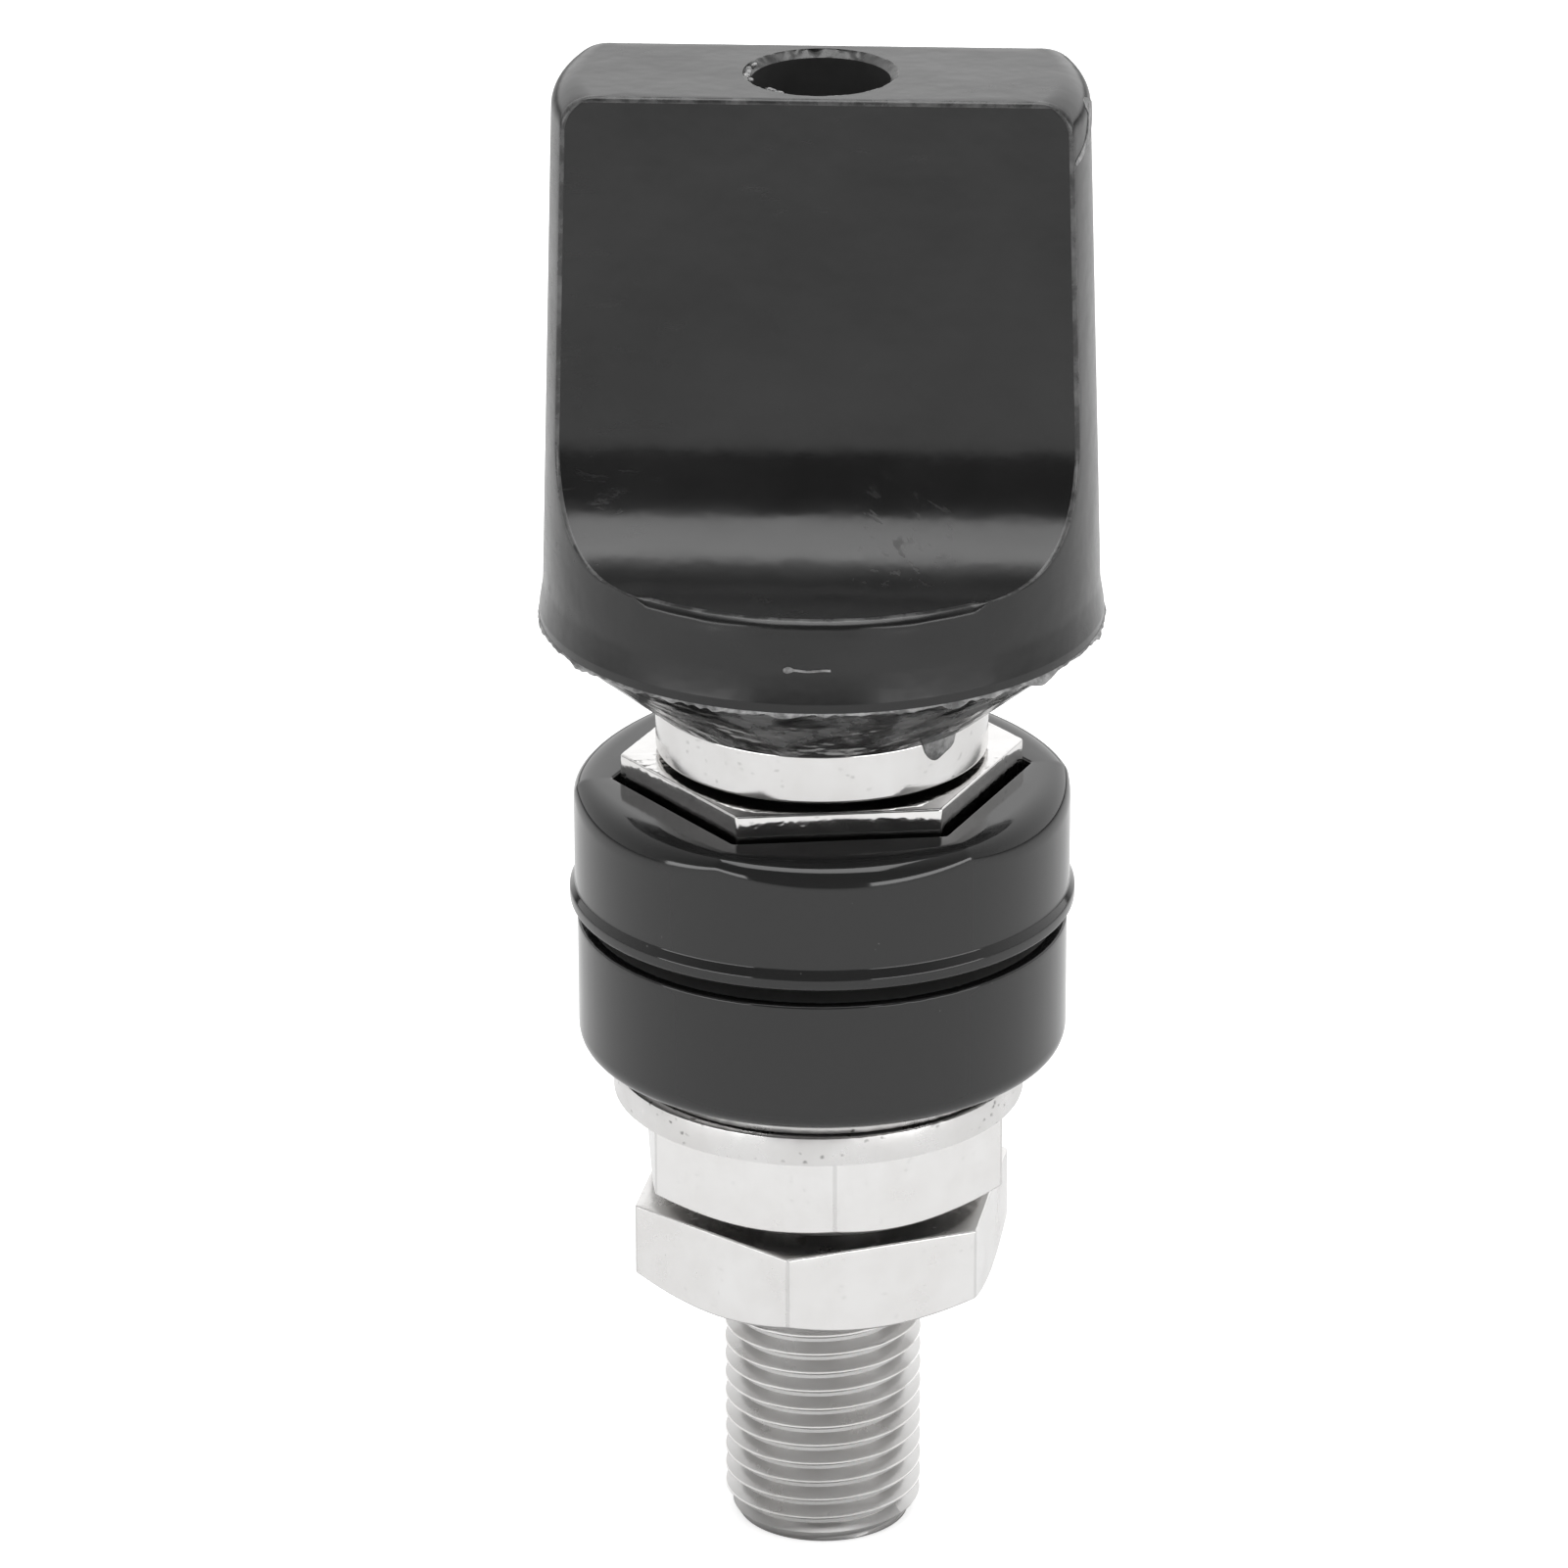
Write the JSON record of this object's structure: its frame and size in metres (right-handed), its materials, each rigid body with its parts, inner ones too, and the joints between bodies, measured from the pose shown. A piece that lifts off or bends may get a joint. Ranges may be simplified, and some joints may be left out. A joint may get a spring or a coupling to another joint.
{
  "type": "binding post",
  "caption": "Panel binding post: flat-grip screw knob with a top socket over a threaded stud, clamped through the panel by two insulating bushes, washers and thin hex nuts.",
  "frame": {"origin": "on the stud's axis at the upper bush's underside, where the panel's front face lies", "axes": "+Z along the stud, out of the panel towards the knob; X along the knob's flat grip; Y through the grip's thickness"},
  "size_m": [0.0272, 0.0272, 0.0752],
  "materials": {
    "knob_plastic": "satin",
    "bush_plastic": "glossy",
    "plated_turned": "bright nickel plate on turned brass",
    "plated_washer": "dull nickel plate on stamped brass"
  },
  "bodies": {
    "post": {"stud": "plated_turned", "upper_insulator": "bush_plastic", "lower_insulator": "bush_plastic", "thin_washer": "plated_washer", "thick_washer": "plated_washer", "panel_nut": "plated_turned"},
    "bush": {"knob_insert": "plated_turned"},
    "knob": {"knob": "knob_plastic"},
    "lower_nut": {"terminal_nut": "plated_turned"}
  },
  "joints": [
    {"name": "knob_rise", "type": "slide", "parent": "post", "child": "bush", "axis": [0, 0, 1], "range_m": [-0.00025, 0.00576]},
    {"name": "knob_turn", "type": "hinge", "parent": "bush", "child": "knob", "pos_m": [0, 0, 0.0104], "axis": [0, 0, 1], "range_deg": [-90, 2070]},
    {"name": "lower_nut_travel", "type": "slide", "parent": "post", "child": "lower_nut", "axis": [0, 0, -1], "range_m": [-0.0005, 0.012]}
  ],
  "couplings": [
    {"joint": "knob_rise", "follows": "knob_turn", "m_per_rad": 0.00015915}
  ]
}
